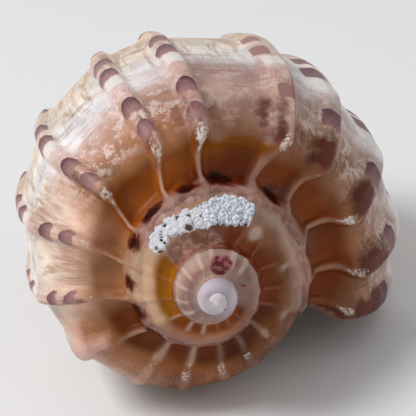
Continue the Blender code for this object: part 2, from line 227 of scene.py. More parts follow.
def ribMarks(turn, column):
    # what the ribs and pits do at each point, and the fields that the colours use
    beforeLip = -turn * 360
    zero = np.zeros_like(beforeLip)
    names = ("fold", "ridge", "spine", "climb", "bar", "shade", "rust", "chalk", "pitAndShade", "notch", "seam")
    found = {name: zero.copy() for name in names}
    found["bar"] -= 1.0
    older, younger = zero + 90, zero + 90
    toShoulder = ease(1.6, 3.1, column)
    onRamp = 1 - ease(0.2, 2.6, column)

    def raiseTo(name, values):
        found[name] = np.maximum(found[name], values)

    for rib in ribs:
        place, high, olderFoot, youngerFoot, bend, climb, wide, spine = rib[:8]
        barred, rusty, chalky, chalkFrom, chalkTo = rib[8:]
        for whorl in range(math.ceil(-coil["firstTurn"])):
            past = beforeLip - place - 360 * whorl - bend * onRamp
            near = np.abs(past) < relief["ribReach"]
            if not near.any():
                continue
            older = np.where(near & (past <= 0), np.minimum(older, -past), older)
            younger = np.where(near & (past >= 0), np.minimum(younger, past), younger)
            foot = np.where(past > 0, olderFoot, youngerFoot)
            broad = wide * (1 + 1.3 * ease(0.9, 0.1, column))
            foot = foot * toShoulder + (broad + 1.6) * (1 - toShoulder)
            raiseTo("fold", high * ease(foot, relief["ribCrown"] * foot, np.abs(past)) * near)
            raiseTo("ridge", np.exp(-((past / broad) ** 2)) * near)
            tip = np.exp(-((past / 1.9) ** 2) - ((column - relief["spineAt"]) / 0.4) ** 2) * near
            raiseTo("spine", spine * tip)
            trail = np.exp(-np.abs(past) / (2.0 + 8.0 * climb * climb))
            raiseTo("climb", climb * np.where(past > 0, np.exp(-((past / 1.8) ** 2)), trail) * near)
            if whorl:
                continue  # bars, stains and chalk are on the last whorl alone
            late = place < relief["lateRibs"]
            pale = relief["wornShare"] if relief["wornRibs"] < place < relief["lateRibs"] else 0
            for start, end in bars[1:] if late else bars:
                middle = past - (barShape["shift"][0 if start < covered else 1] if late else 0)
                halfWide = barShape["halfWide"] - barShape["wornHalfWide"] * pale
                halfWide = halfWide * np.where(middle > 0, 1.1, 1.0)
                across = 1 - np.abs(middle) / halfWide
                farEdge = end - (0.1 if late else 0.22) * (middle / halfWide) ** 2
                fadeIn = (column - start) / barShape["fadeIn"]
                along = np.minimum(fadeIn, (farEdge - column) / barShape["fadeOut"])
                field = np.where(barred > 0, np.minimum(6 * across, along) - 2 * (1 - barred), -1)
                better = (field > found["bar"]) & near
                shade = (column - start) / (farEdge - start + 1e-6)
                if late:
                    shade = 0.45 + 0.45 * shade - pale + (0.3 if place < 10 else 0)
                found["shade"] = np.where(better, shade, found["shade"])
                found["bar"] = np.where(better, field, found["bar"])
            if late:
                seam = np.exp(-(((past + 1.9) / 0.7) ** 2))
                raiseTo("seam", seam * ease(2.9, 3.3, column) * ease(6.0, 5.0, column) * near)
            flank = past / olderFoot
            stain = ease(1.15 + 0.7 * pale, 0.35 + 0.9 * pale, flank)
            stain = stain * ease(-0.3 + 0.5 * pale, 0.05 + 0.5 * pale, flank)
            raiseTo("rust", rusty * (stain * ease(2.7, 3.2, column) * ease(4.9, 3.8, column)) * near)
            narrow = 1.0 + (1.6 if late else 2.6) * ease(2.5, 2.8, column)
            streak = ease(narrow, 0.4 * narrow, np.abs(past))
            streak = streak * ease(chalkFrom - 0.3, chalkFrom + 0.15, column)
            streak = streak * ease(chalkTo + 0.3, chalkTo - 0.15, column)
            white = ease(3.8, 2.0, np.abs(past - (3.0 if late else 0)))
            white = white * ease(5.7, 6.2, column) * ease(7.15, 6.9, column)
            raiseTo("chalk", near * np.maximum(chalky * streak, 1.4 * np.minimum(1, barred) * white))
    found["gap"] = ease(0.8, 5.0, np.minimum(older, younger)) * ease(5, 24, older + younger)
    # the pits at the suture: how far the layer is notched there, and where each pit dips and carries its dark
    # red and painted shade
    for place, halfWide, middle, halfHigh, dark in shadedPits:
        here = dark * np.exp(-(((beforeLip - place) / halfWide) ** 2))
        raiseTo("notch", here)
        raiseTo("pitAndShade", here * np.exp(-(((column - middle) / halfHigh) ** 2)))
    return found


def turned(turn, radius, height):
    angle = coil["lipAzimuth"] - 2 * math.pi * turn
    return np.stack([radius * np.cos(angle), radius * np.sin(angle), height], axis=1)


def notchAt(turn, column):
    across = ease(12.0, 14.6, column) * (1 - ease(14.6, 16.0, column))
    return coil["frontNotch"] * across * ease(-0.10, 0.0, turn)


def scoopAt(marks, turn, column):
    depth = relief["cupDepth"] * (1 - (1 - relief["lateCup"]) * ease(-0.26, -0.2, turn))
    cup = depth * marks["gap"] * ease(0.55, 1.3, column) * ease(2.9, 1.5, column)
    return cup + relief["pitDepth"] * marks["pitAndShade"]


def skinAt(turn, column, joined=True):
    # a point of the outer surface. Near column 0 it is drawn onto the whorl before
    size = coil["sutureRadius"] * coil["growth"] ** turn
    radius, height = profileAt(turn, column)
    outX, outZ = outwardAt(turn, column)
    marks = ribMarks(turn, column)
    lift = marks["fold"] * curveAt(ribHeight, column) + relief["spineHeight"] * marks["spine"]
    lift = (lift - scoopAt(marks, turn, column)) * strengthAt(turn, column) * size
    layer = relief["seam"] * size * ease(0, 0.3, column) * ease(1.2, 0.5, column)
    lift = lift + layer * (1 - marks["notch"])
    radius = radius + outX * lift - radius * flatteningAt(turn, column)
    height = height + outZ * lift + notchAt(turn, column)
    points = turned(turn - leanAt(turn, column), radius, height)
    if not joined:
        return points
    here = column < 0.95
    if here.any():
        turnHere, columnHere = turn[here], column[here]
        suture = ribMarks(turnHere, np.zeros_like(turnHere))
        higher = relief["leftSeat"] * ease(-0.40, -0.47, turnHere) * ease(-0.69, -0.62, turnHere)
        slide = relief["pitSlide"] * suture["notch"] - relief["seatHigh"] - higher - 0.5 * suture["climb"]
        slide = slide * strengthAt(turnHere, np.zeros_like(turnHere))
        # the layer wraps the shoulder of the whorl before, then leaves it
        seat = covered + slide * (1 - np.clip(columnHere / 0.5, 0, 1))
        onto = skinAt(turnHere - 1, seat, joined=False)
        outX, outZ = outwardAt(turnHere - 1, seat)
        thin = relief["seam"] * size[here] * ease(0, 0.12, columnHere) * (1 - 0.4 * suture["notch"])
        onto = onto + turned(turnHere - 1, outX * thin, outZ * thin)
        first = turnHere - 1 < coil["firstTurn"]
        onto[first] = (0, 0, coil["nucleusRise"])
        leave = ease(0.3, 0.9, columnHere)[:, None]
        points[here] = onto * (1 - leave) + points[here] * leave
    return points


def innerAt(turn, column):
    # the hollow's outer side, one wall thickness in
    size = coil["sutureRadius"] * coil["growth"] ** turn
    radius, height = profileAt(turn, column)
    outX, outZ = outwardAt(turn, column)
    inset = coil["wall"] * size
    deeper = inset + coil["rampWall"] * size * ease(3.6, 2.0, column)
    radius = radius - outX * deeper - radius * flatteningAt(turn, column)
    height = height - outZ * deeper + notchAt(turn, column)
    points = turned(turn - leanAt(turn, column), radius, height)
    start = skinAt(turn - 1, np.full_like(turn, 8.2), joined=False)
    pull = np.clip(1 - column / 1.5, 0, 1)[:, None] ** 1.5
    points = points * (1 - pull) + start * pull
    foot = skinAt(turn, np.full_like(turn, lastColumn), joined=False)
    foot[:, 2] += 2 * inset
    pull = ease(15.2, 16, column)[:, None]
    points = points * (1 - pull) + foot * pull
    middle = points.mean(axis=0)
    close = ease(-coil["hollowTurns"] + 0.05, -coil["hollowTurns"], turn)[:, None]
    return points * (1 - close) + middle * close


def rimAt(share, column):
    outer = skinAt(np.zeros_like(column), column)
    back = skinAt(np.full_like(column, -0.004), column)
    inner = innerAt(np.zeros_like(column), column)
    forward = outer - back
    forward /= np.linalg.norm(forward, axis=1)[:, None] + 1e-9
    thick = np.linalg.norm(outer - inner, axis=1)[:, None]
    bulge = np.sin(np.pi * share)[:, None] * thick * coil["rimBulge"]
    bulge = bulge * ease(0, 0.6, column)[:, None] * ease(16, 15.4, column)[:, None]
    angle = (0.5 - 0.5 * np.cos(np.pi * share))[:, None]
    return outer * (1 - angle) + inner * angle + forward * bulge


def pillarAt(turn, share):
    # the columella, from the end of the whorl one turn back down to its foot
    top = skinAt(turn - 1, np.full_like(turn, lastColumn), joined=False)
    inside = np.minimum(turn, 0)
    foot = innerAt(inside, np.full_like(turn, float(lastColumn)))
    tip = skinAt(np.zeros(1), np.full(1, float(lastColumn)), joined=False)
    foot[turn > 0] = tip
    height = top[:, 2] + (foot[:, 2] - top[:, 2]) * share
    aroundAxis = turned(turn, pillarRadius(height), height)
    ends = (ease(0.25, 0, share) + ease(0.75, 1, share))[:, None]
    straight = top + (foot - top) * share[:, None]
    return aroundAxis * (1 - ends) + straight * ends


lie = (
    Matrix.Translation(coil["tipAt"])
    @ Matrix.Rotation(coil["lieOver"], 4, "X")
    @ Matrix.Rotation(coil["lieTurn"], 4, "Z")
)


def laid(points):
    turnedOver = np.array(lie.to_3x3())
    return points @ turnedOver.T + np.array(lie.translation)


def addSheet(mesh, rows, columns, place, kind, log):
    # a grid whose two directions are turns and columns, bent into place
    start = len(mesh.verts)
    bmesh.ops.create_grid(mesh, x_segments=len(rows) - 1, y_segments=len(columns) - 1, size=1.0)
    mesh.verts.ensure_lookup_table()
    made = mesh.verts[start:]
    across = np.array([(vert.co.x, vert.co.y) for vert in made])
    turn = np.interp(across[:, 0], np.linspace(-1, 1, len(rows)), rows)
    column = np.interp(across[:, 1], np.linspace(-1, 1, len(columns)), columns)
    points = laid(place(turn, column))
    for vert, point in zip(made, points.tolist()):
        vert.co = point
    log.append((turn, column, np.full(len(turn), kind)))


def noiseAt(points, scale, seed):
    shift = Vector((seed, seed, seed))
    return np.array([noise.noise(Vector(point) * scale + shift) for point in points.tolist()])


# Shell colours
tones = {
    "crimson": (0.11, 0.010, 0.0),
    "deep": (0.19, 0.027, 0.0),
    "brightAmber": (0.24, 0.066, 0.0),
    "umber": (0.17, 0.058, 0.03),
    "amber": (0.34, 0.085, 0.006),
    # amber made darker, partly as painted shade, on the last ribs and the right side of the whorl before
    "shadedAmber": (0.205, 0.038, 0.0),
    "softAmber": (0.36, 0.145, 0.06),
    "softTan": (0.47, 0.22, 0.11),
    "gold": (0.32, 0.105, 0.0),
    "oldGold": (0.20, 0.040, 0.0),
    "tan": (0.34, 0.14, 0.055),
    "lateTan": (0.26, 0.105, 0.045),
    "rosyTan": (0.54, 0.30, 0.19),
    "peach": (0.66, 0.38, 0.27),
    "paleCream": (0.76, 0.56, 0.45),
    "mauve": (0.33, 0.17, 0.12),
    "pink": (0.46, 0.29, 0.25),
    "rosyPink": (0.64, 0.40, 0.34),
    "seatTan": (0.40, 0.205, 0.12),
    "rosyGrey": (0.44, 0.33, 0.31),
    "blueWhite": (0.80, 0.77, 0.79),
    "cream": (0.84, 0.74, 0.64),
    "buff": (0.70, 0.50, 0.35),
    "glaze": (0.33, 0.165, 0.13),
    "orange": (0.40, 0.160, 0.068),
    "burnt": (0.35, 0.12, 0.03),
    "warmOrange": (0.46, 0.22, 0.10),
    "straw": (0.54, 0.33, 0.20),
    "greyTan": (0.40, 0.27, 0.21),
    "scab": (0.24, 0.115, 0.095),
    "rose": (0.40, 0.26, 0.225),
    "tip": (0.64, 0.59, 0.63),
    "lilac": (0.50, 0.43, 0.48),
    "ridge": (0.58, 0.40, 0.31),
    "lace": (0.62, 0.47, 0.42),
    "paleSpot": (0.66, 0.54, 0.46),
    "inside": (0.80, 0.66, 0.54),
}
# The colours down a whorl, region by region: column, tone
sideBand = (
    (6.3, "cream"), (7.2, "blueWhite"), (8.4, "cream"), (10, "buff"), (11.3, "blueWhite"),
    (13, "buff"), (16, "tan"),
)
oldRamp = ((0, "glaze"), (0.25, "glaze"), (0.6, "deep"), (1.0, "oldGold"), (2.0, "oldGold"))
bands = {
    "left": (
        (0, "straw"), (0.15, "straw"), (0.35, "seatTan"), (0.6, "seatTan"), (1.0, "softAmber"),
        (1.3, "softAmber"), (2.1, "softTan"), (3.0, "rosyTan"), (3.6, "peach"), (4.6, "paleCream"),
        *sideBand,
    ),
    "upper": (
        (0, "glaze"), (0.4, "glaze"), (0.7, "amber"), (2.1, "amber"), (2.9, "tan"), (3.6, "orange"),
        (4.0, "orange"), (5.0, "rosyPink"), (5.9, "blueWhite"), (6.6, "blueWhite"), *sideBand[1:],
    ),
    "top": (
        (0, "glaze"), (0.4, "glaze"), (0.65, "crimson"), (0.9, "crimson"), (1.3, "deep"),
        (2.2, "brightAmber"), (2.65, "brightAmber"), (2.8, "lateTan"), (3.6, "mauve"), (5.0, "pink"),
        (6.4, "rosyGrey"), (7.4, "blueWhite"), *sideBand[2:],
    ),
    # the last ribs: darker copies of the tones, partly their own colour and partly painted shade
    "late": (
        (0, "glaze"), (0.4, "glaze"), (0.6, "umber"), (0.9, "umber"), (1.3, "shadedAmber"),
        (2.2, "shadedAmber"), (2.9, "lateTan"), (3.6, "lateTan"), (4.3, "greyTan"), (5.2, "rosyGrey"),
        (6.2, "blueWhite"), *sideBand[1:],
    ),
    "near": (
        *oldRamp, (2.7, "tan"), (3.5, "burnt"), (4.4, "orange"), (5.2, "peach"), (6.4, "buff"),
        *sideBand[1:],
    ),
    "old": (
        *oldRamp, (2.7, "burnt"), (5.4, "burnt"), (6.4, "warmOrange"), (7.5, "buff"), (10, "buff"),
        (12, "cream"), (16, "tan"),
    ),
    "penultimate": (
        (0, "rose"), (0.25, "glaze"), (0.55, "deep"), (0.9, "gold"), (2.4, "gold"), (3.2, "straw"),
        (4.0, "straw"), (4.7, "glaze"), (7, "glaze"),
    ),
    "under": (
        (0, "glaze"), (0.3, "glaze"), (0.6, "deep"), (1.0, "oldGold"), (2.4, "oldGold"), (3.4, "tan"),
        (4.3, "glaze"), (7, "glaze"),
    ),
    "rightSide": (
        (0, "deep"), (0.8, "deep"), (2.2, "shadedAmber"), (3.2, "lateTan"), (4.3, "greyTan"),
        (5.2, "glaze"), (7, "glaze"),
    ),
    "third": ((0, "rose"), (2.5, "rose"), (3.5, "glaze"), (5, "greyTan"), (7, "glaze")),
    "nucleus": ((0, "lilac"), (7, "lilac")),
}
# Which region takes over from those before it, between which turns
bodyRegions = (
    ("upper", -0.30, -0.37), ("left", -0.45, -0.50), ("late", -0.24, -0.20), ("old", -0.603, -0.635),
)
spireRegions = (
    ("under", -1.64, -1.72), ("rightSide", -1.36, -1.24), ("third", -1.97, -2.03), ("nucleus", -2.75, -3.0),
)
oldDim = (0.8, 0.7, 0.6)
# Pale spots on the whorl before the last: turn, column, half size in columns, how pale
paleSpots = (
    (-1.196, 2.8, 0.5, 0.55), (-1.090, 3.2, 0.4, 0.6), (-1.050, 3.9, 0.5, 0.35), (-0.994, 3.5, 0.4, 0.4),
    (-0.948, 2.7, 0.3, 0.3), (-1.293, 5.5, 0.4, 0.4), (-1.592, 3.9, 0.4, 0.5),
)
# The red stains near the tip: turn, column, half size in turns, half size in columns
stains = ((-2.275, 2.6, 0.062, 2.0), (-2.100, 2.0, 0.014, 0.7))
pore = {"turn": -2.944, "column": 0.5, "radius": 0.00026}  # the tiny hole beside the tip


def banded(column, stops):
    places = [stop[0] for stop in stops]
    colours = np.array([tones[stop[1]] for stop in stops])
    return np.stack([np.interp(column, places, colours[:, axis]) for axis in range(3)], axis=1)


def blend(first, second, share):
    return first * (1 - share[:, None]) + second * share[:, None]


def baseTone(turn, column):
    tone = {name: banded(column, stops) for name, stops in bands.items()}
    tone["old"] = blend(tone["near"], tone["old"] * oldDim, ease(-0.72, -0.78, turn))
    tone["nucleus"] = blend(tone["nucleus"], np.array(tones["tip"]), ease(-3.4, -3.7, turn))
    body, spire = tone["top"], tone["penultimate"]
    for name, start, full in bodyRegions:
        body = blend(body, tone[name], ease(start, full, turn))
    for name, start, full in spireRegions:
        spire = blend(spire, tone[name], ease(start, full, turn))
    dim = 0.12 * ease(-0.68, -0.72, turn) + 0.3 * ease(-0.84, -0.92, turn)
    dim = dim + 0.35 * ease(-0.06, -0.01, turn) * ease(4, 3, column)
    body = body * (1 - dim)[:, None]
    light = 1 - 0.28 * ease(-1.3, -1.15, turn) * ease(3.8, 2.8, column)
    light = light - 0.32 * ease(-2.25, -2.1, turn) * ease(-1.9, -2.0, turn)
    spire = spire * light[:, None]
    return blend(body, spire, ease(-0.995, -1.005, turn) * (column < 7.2))


def ridgeShareAt(turn, body):
    # how much paler the thin ridges on the ramp are
    last = body * (0.58 - 0.24 * ease(-0.26, -0.2, turn)) * (1 - 0.6 * ease(-0.80, -0.84, turn))
    last = last * (1 - 0.55 * ease(-0.46, -0.5, turn) * ease(-0.7, -0.62, turn))
    last = last * (1 - 0.8 * ease(-0.03, -0.015, turn))
    older = 0.12 + 0.6 * ease(-1.84, -1.8, turn) * ease(-1.6, -1.66, turn)
    return last + (1 - body) * ease(-3.0, -2.8, turn) * older


def shellFields(turn, column, kind, points):
    marks = ribMarks(turn, column)
    body = ease(-1.02, -0.98, turn)
    inside = (kind > 0.5).astype(float)
    outside = 1 - inside
    # the edges of the colours wander a little
    sway = noiseAt(points, 190, 3) + 0.5 * noiseAt(points, 520, 8)
    swayed = column + sway * (0.55 * body + 0.7 * (1 - body)) * ease(0.1, 1.0, column)
    tone = baseTone(turn, np.clip(swayed, 0, lastColumn))
    tone = tone * (1 + 0.35 * np.clip(sway, -1, 1))[:, None]

    def tint(name, share):
        return blend(tone, np.array(tones[name]), share)

    ridge = np.tile(tones["ridge"], (len(turn), 1))
    ridge = blend(ridge, np.array(tones["glaze"]), ease(0.9, 0.2, column))
    onRidge = np.clip(1.2 * marks["ridge"], 0, 1) * ease(2.9, 2.3, column)
    tone = blend(tone, ridge, onRidge * ridgeShareAt(turn, body))
    crest = np.clip(marks["fold"], 0, 1) * ease(2.8, 3.3, column) * ease(9.5, 8.8, column)
    tone = tint("rosyPink", 0.65 * crest * ease(-0.19, -0.21, turn) * ease(-0.98, -0.9, turn))
    lace = np.clip(marks["fold"], 0, 1) * ease(1.5, 3.2, column)
    tone = tint("lace", 0.7 * (lace * ease(-2.12, -2.2, turn) * ease(-2.95, -2.85, turn)))
    for place, middle, size, pale in paleSpots:
        here = np.exp(-(((turn - place) / (0.022 * size)) ** 2) - ((column - middle) / size) ** 2)
        tone = tint("paleSpot", pale * np.clip(here * (0.9 + 3.5 * sway), 0, 1))
    tone = tint("inside", inside)
    tone = tint("umber", inside * ease(-1.0, -1.001, turn) * ease(10.5, 9.5, column))
    tone = tint("glaze", (kind > 1.5) * ease(5.5, 4.0, column))
    scab = ease(-1.47, -1.44, turn) * ease(-1.25, -1.29, turn)
    scab = scab * ease(3.2, 2.6, column) * ease(0.2, 0.8, column)
    tone = tint("scab", 0.75 * scab * (0.6 + 0.4 * np.clip(1.5 * sway + 0.5, 0, 1)))

    stained = [
        1.2 - np.hypot((turn - place) / wide, (column - middle) / high) for place, middle, wide, high in stains
    ]
    hole = laid(skinAt(np.full(1, pore["turn"]), np.full(1, pore["column"])))
    inPore = 1 - np.linalg.norm(points - hole, axis=1) / pore["radius"]
    left = ease(-0.44, -0.50, turn)
    upper = ease(-0.30, -0.36, turn) * (1 - left)
    right = ease(-0.26, -0.22, turn)
    lines = left * ease(2.7, 3.6, column) * (1 - 0.85 * ease(-0.57, -0.64, turn))
    lines = lines + right * 0.35 * ease(2.8, 3.6, column)
    lines = body * (lines + (1 - left - right) * ease(6.0, 7.5, column))
    mottle = upper + (0.35 + 0.3 * right) * (1 - upper - left) + 0.12 * left
    mottle = ease(3.0, 4.0, column) * ease(6.8, 5.8, column) * body * mottle
    dash = ease(4.4, 5.2, column) * ease(10, 9, column) * body * ease(-0.47, -0.42, turn) * (1 - 0.6 * right)
    scurf = (1 - body) * ease(4.5, 5.0, column) * ease(-2.7, -2.6, turn) + 0.6 * body * ease(0.6, 0.4, column)
    oldSeam = 0.8 * (1 - body) * ease(-1.75, -1.80, turn)
    scurf = scurf + oldSeam * ease(0.6, 0.1, column) * ease(-2.7, -2.6, turn)
    scurf = np.maximum(scurf, 1.3 * scab)
    return tone, {
        "bar": (marks["bar"] * 0.5 + 0.5) * outside,
        "shade": np.clip(marks["shade"], 0, 1) * np.where((column < 4.1) & (turn < -0.28), 0.7, 1.0),
        "rust": marks["rust"] * outside,
        "seam": marks["seam"] * outside * body,
        "chalk": marks["chalk"] * outside,
        "pitAndShade": marks["pitAndShade"] * outside,
        "blotch": np.clip(np.maximum(*stained), 0, 1) * (column < 5.5),
        "pore": np.clip(inPore, 0, 1),
        "lines": lines * outside,
        "mottle": mottle * outside,
        "dash": dash * outside,
        "scurf": np.clip(scurf, 0, 1.4) * outside,
    }


# Shader helpers
def newMaterial(name):
    made = bpy.data.materials.new(name)
    made.use_nodes = True
    return made, made.node_tree, made.node_tree.nodes["Principled BSDF"]


def put(tree, socket, value):
    if isinstance(value, bpy.types.NodeSocket):
        tree.links.new(value, socket)
    else:
        socket.default_value = value


def mathOf(tree, operation, first, second=0.0, clamped=False):
    made = tree.nodes.new("ShaderNodeMath")
    made.operation = operation
    made.use_clamp = clamped
    put(tree, made.inputs[0], first)
    put(tree, made.inputs[1], second)
    return made.outputs[0]


def scaled(tree, value, factor):
    return mathOf(tree, "MULTIPLY", value, factor)


def added(tree, first, second):
    return mathOf(tree, "ADD", first, second)


def mixOf(tree, share, first, second, blendType="MIX"):
    made = tree.nodes.new("ShaderNodeMix")
    made.data_type = "RGBA"
    made.blend_type = blendType
    put(tree, made.inputs[0], share)
    for slot, value in ((6, first), (7, second)):
        put(tree, made.inputs[slot], value if isinstance(value, bpy.types.NodeSocket) else (*value, 1))
    return made.outputs[2]


def rangeOf(tree, value, low, high, toLow=0.0, toHigh=1.0):
    made = tree.nodes.new("ShaderNodeMapRange")
    put(tree, made.inputs["Value"], value)
    for socket, limit in zip(("From Min", "From Max", "To Min", "To Max"), (low, high, toLow, toHigh)):
        made.inputs[socket].default_value = limit
    return made.outputs["Result"]


def noiseOf(tree, vector, scale, detail, rough=0.5, distortion=0.0, stretch=(1, 1, 1), shift=(0, 0, 0)):
    mapping = tree.nodes.new("ShaderNodeMapping")
    mapping.inputs["Scale"].default_value = stretch
    mapping.inputs["Location"].default_value = shift
    put(tree, mapping.inputs["Vector"], vector)
    made = tree.nodes.new("ShaderNodeTexNoise")
    put(tree, made.inputs["Vector"], mapping.outputs["Vector"])
    settings = {"Scale": scale, "Detail": detail, "Roughness": rough, "Distortion": distortion}
    for socket, value in settings.items():
        made.inputs[socket].default_value = value
    return made.outputs["Fac"]


def attributeOf(tree, name, output="Fac"):
    made = tree.nodes.new("ShaderNodeAttribute")
    made.attribute_name = name
    return made.outputs[output]


def frayed(tree, name, ragged):
    # a mark whose edge is ragged, and nothing where there is no mark
    field = attributeOf(tree, name)
    return added(tree, field, scaled(tree, ragged, mathOf(tree, "MULTIPLY", field, 3.0, True)))


def bumped(tree, shader, height, strength, distance):
    bump = tree.nodes.new("ShaderNodeBump")
    bump.inputs["Strength"].default_value = strength
    bump.inputs["Distance"].default_value = distance
    put(tree, bump.inputs["Height"], height)
    put(tree, shader.inputs["Normal"], bump.outputs["Normal"])


# Each mark on the glaze: its colour, where its field starts to show and shows in full, and how
# strong it then is. The two pit marks are dark red with painted shade
glazeMarks = {
    "paleLine": ((0.90, 0.82, 0.73), 0.48, 0.66, 0.5),
    "darkLine": ((0.40, 0.23, 0.13), 0.50, 0.64, 0.7),
    "whiteFleck": ((0.84, 0.70, 0.66), 0.50, 0.57, 0.68),
    "orangeFleck": ((0.50, 0.25, 0.16), 0.54, 0.62, 0.45),
    "darkFleck": ((0.30, 0.16, 0.11), 0.56, 0.64, 0.65),
    "scurf": ((0.58, 0.41, 0.36), 0.46, 0.64, 0.55),
    "rust": ((0.10, 0.018, 0.009), 0.12, 0.85, 0.95),
    "seam": ((0.10, 0.035, 0.055), 0.25, 0.8, 0.8),
    "bar": ((0.10, 0.035, 0.055), 0.50, 0.60, 1.0),
    "chalk": ((0.80, 0.75, 0.70), 0.34, 0.95, 0.82),
    # dark red round and in the pits at the suture, with painted shade: near black at the bottom of a pit
    "pitRimAndShade": ((0.12, 0.018, 0.006), 0.12, 0.45, 1.0),
    "pitAndShade": ((0.020, 0.0025, 0.001), 0.42, 0.75, 1.0),
    "blotch": ((0.11, 0.012, 0.018), 0.18, 0.42, 1.0),
    "pore": ((0.06, 0.05, 0.045), 0.2, 0.6, 1.0),
}
glazeLook = {
    "duller": (0.62, 0.50, 0.42),
    "barPale": (0.34, 0.175, 0.165),
    "blotchPale": (0.33, 0.12, 0.12),
    "roughness": (0.30, 0.46),
    "chalkRoughness": 0.12,
    "bumpStrength": 0.5,
    "bumpDistance": 0.00025,
    "finish": {
        "IOR": 1.55,
        "Specular IOR Level": 0.12,
        "Coat Weight": 0.03,
        "Coat Roughness": 0.22,
        "Subsurface Weight": 0.05,
        "Subsurface Radius": (1.0, 0.45, 0.25),
        "Subsurface Scale": 0.0012,
    },
}


def shareOf(tree, name, field):
    low, high, most = glazeMarks[name][1:]
    return rangeOf(tree, field, low, high, 0, most)


def marked(tree, colour, name, field, within=None, paint=None):
    # lay one mark over the colour below it, within the area that an attribute gives
    share = shareOf(tree, name, field)
    if within:
        share = scaled(tree, share, attributeOf(tree, within))
    return mixOf(tree, share, colour, paint or glazeMarks[name][0])


def shellGlaze():
    made, tree, shader = newMaterial("shellGlaze")
    coords = tree.nodes.new("ShaderNodeTexCoord").outputs["Object"]
    uv = tree.nodes.new("ShaderNodeUVMap")
    uv.uv_map = "coil"
    along = uv.outputs["UV"]
    warp = mathOf(tree, "SUBTRACT", noiseOf(tree, coords, 900, 3, 0.6), 0.5)
    grit = mathOf(tree, "SUBTRACT", noiseOf(tree, coords, 2300, 3, 0.6), 0.5)
    broad = noiseOf(tree, coords, 230, 4, 0.55)
    patchy = scaled(tree, mathOf(tree, "SUBTRACT", broad, 0.5), 1.8)
    colour = attributeOf(tree, "tone", "Color")
    colour = mixOf(tree, rangeOf(tree, broad, 0.40, 0.70, 0.0, 0.5), colour, glazeLook["duller"], "MULTIPLY")

    # growth lines run along the ribs
    fine = noiseOf(tree, along, 1.0, 4, 0.6, 0.9, (420, 0.6, 1))
    wide = noiseOf(tree, along, 1.0, 4, 0.6, 1.2, (90, 0.5, 1), (3, 5, 0))
    colour = marked(tree, colour, "paleLine", fine, "lines")
    colour = marked(tree, colour, "darkLine", wide, "lines")

    # white mottling and flecks below the shoulder
    flakes = noiseOf(tree, coords, 560, 8, 0.75, 0.25)
    specks = noiseOf(tree, coords, 900, 5, 0.7, 0.4, shift=(2, 9, 5))
    dashes = noiseOf(tree, along, 1.0, 4, 0.62, 1.0, (20, 3.6, 1), (1, 2, 0))
    scurfy = noiseOf(tree, coords, 800, 6, 0.7, 0.3, shift=(7, 1, 2))
    colour = marked(tree, colour, "whiteFleck", flakes, "mottle")
    colour = marked(tree, colour, "orangeFleck", specks, "mottle")
    colour = marked(tree, colour, "darkFleck", dashes, "dash")
    colour = marked(tree, colour, "scurf", scurfy, "scurf")

    # stains beside the ribs, and the bars on them
    ragged = added(tree, scaled(tree, patchy, 1.5), scaled(tree, warp, 0.8))
    colour = marked(tree, colour, "rust", frayed(tree, "rust", ragged))
    colour = marked(tree, colour, "seam", frayed(tree, "seam", patchy))
    shade = added(tree, attributeOf(tree, "shade"), scaled(tree, warp, 0.7))
    barTone = mixOf(tree, rangeOf(tree, shade, 0.28, 0.98), glazeLook["barPale"], glazeMarks["bar"][0])
    field = added(tree, attributeOf(tree, "bar"), scaled(tree, warp, 0.4))
    colour = marked(tree, colour, "bar", field, paint=barTone)

    # chalky knobs, the pits' dark red with painted shade, and the stains and pore of the tip
    ragged = added(tree, scaled(tree, warp, 1.2), scaled(tree, grit, 2.0))
    chalkShare = shareOf(tree, "chalk", frayed(tree, "chalk", ragged))
    colour = mixOf(tree, chalkShare, colour, glazeMarks["chalk"][0])
    ragged = added(tree, scaled(tree, warp, 1.3), scaled(tree, patchy, 0.7))
    pitShadeField = frayed(tree, "pitAndShade", ragged)
    colour = marked(tree, colour, "pitRimAndShade", pitShadeField)
    colour = marked(tree, colour, "pitAndShade", pitShadeField)
    clots = noiseOf(tree, coords, 1300, 2, shift=(4, 4, 4))
    clotted = mixOf(tree, rangeOf(tree, clots, 0.38, 0.62), glazeLook["blotchPale"], glazeMarks["blotch"][0])
    field = added(tree, attributeOf(tree, "blotch"), scaled(tree, warp, 0.6))
    colour = marked(tree, colour, "blotch", field, paint=clotted)
    colour = marked(tree, colour, "pore", attributeOf(tree, "pore"))
    put(tree, shader.inputs["Base Color"], colour)

    rough = rangeOf(tree, broad, 0.3, 0.7, *glazeLook["roughness"])
    rough = added(tree, rough, scaled(tree, chalkShare, glazeLook["chalkRoughness"]))
    put(tree, shader.inputs["Roughness"], rough)
    for name, value in glazeLook["finish"].items():
        shader.inputs[name].default_value = value
    height = scaled(tree, fine, attributeOf(tree, "lines"))
    height = added(tree, height, scaled(tree, noiseOf(tree, coords, 1900, 3, 0.6), 0.5))
    height = added(tree, height, scaled(tree, flakes, 0.6))
    bumped(tree, shader, height, glazeLook["bumpStrength"], glazeLook["bumpDistance"])
    return made


def placed(name, data):
    made = bpy.data.objects.new(name, data)
    bpy.context.scene.collection.objects.link(made)
    return made


def smoothMesh(mesh, name):
    data = bpy.data.meshes.new(name)
    mesh.to_mesh(data)
    mesh.free()
    data.polygons.foreach_set("use_smooth", [True] * len(data.polygons))
    return data


def weld(made):
    mesh = bmesh.new()
    mesh.from_mesh(made.data)
    bmesh.ops.remove_doubles(mesh, verts=mesh.verts, dist=2e-6)
    bmesh.ops.recalc_face_normals(mesh, faces=mesh.faces)
    mesh.to_mesh(made.data)
    mesh.free()


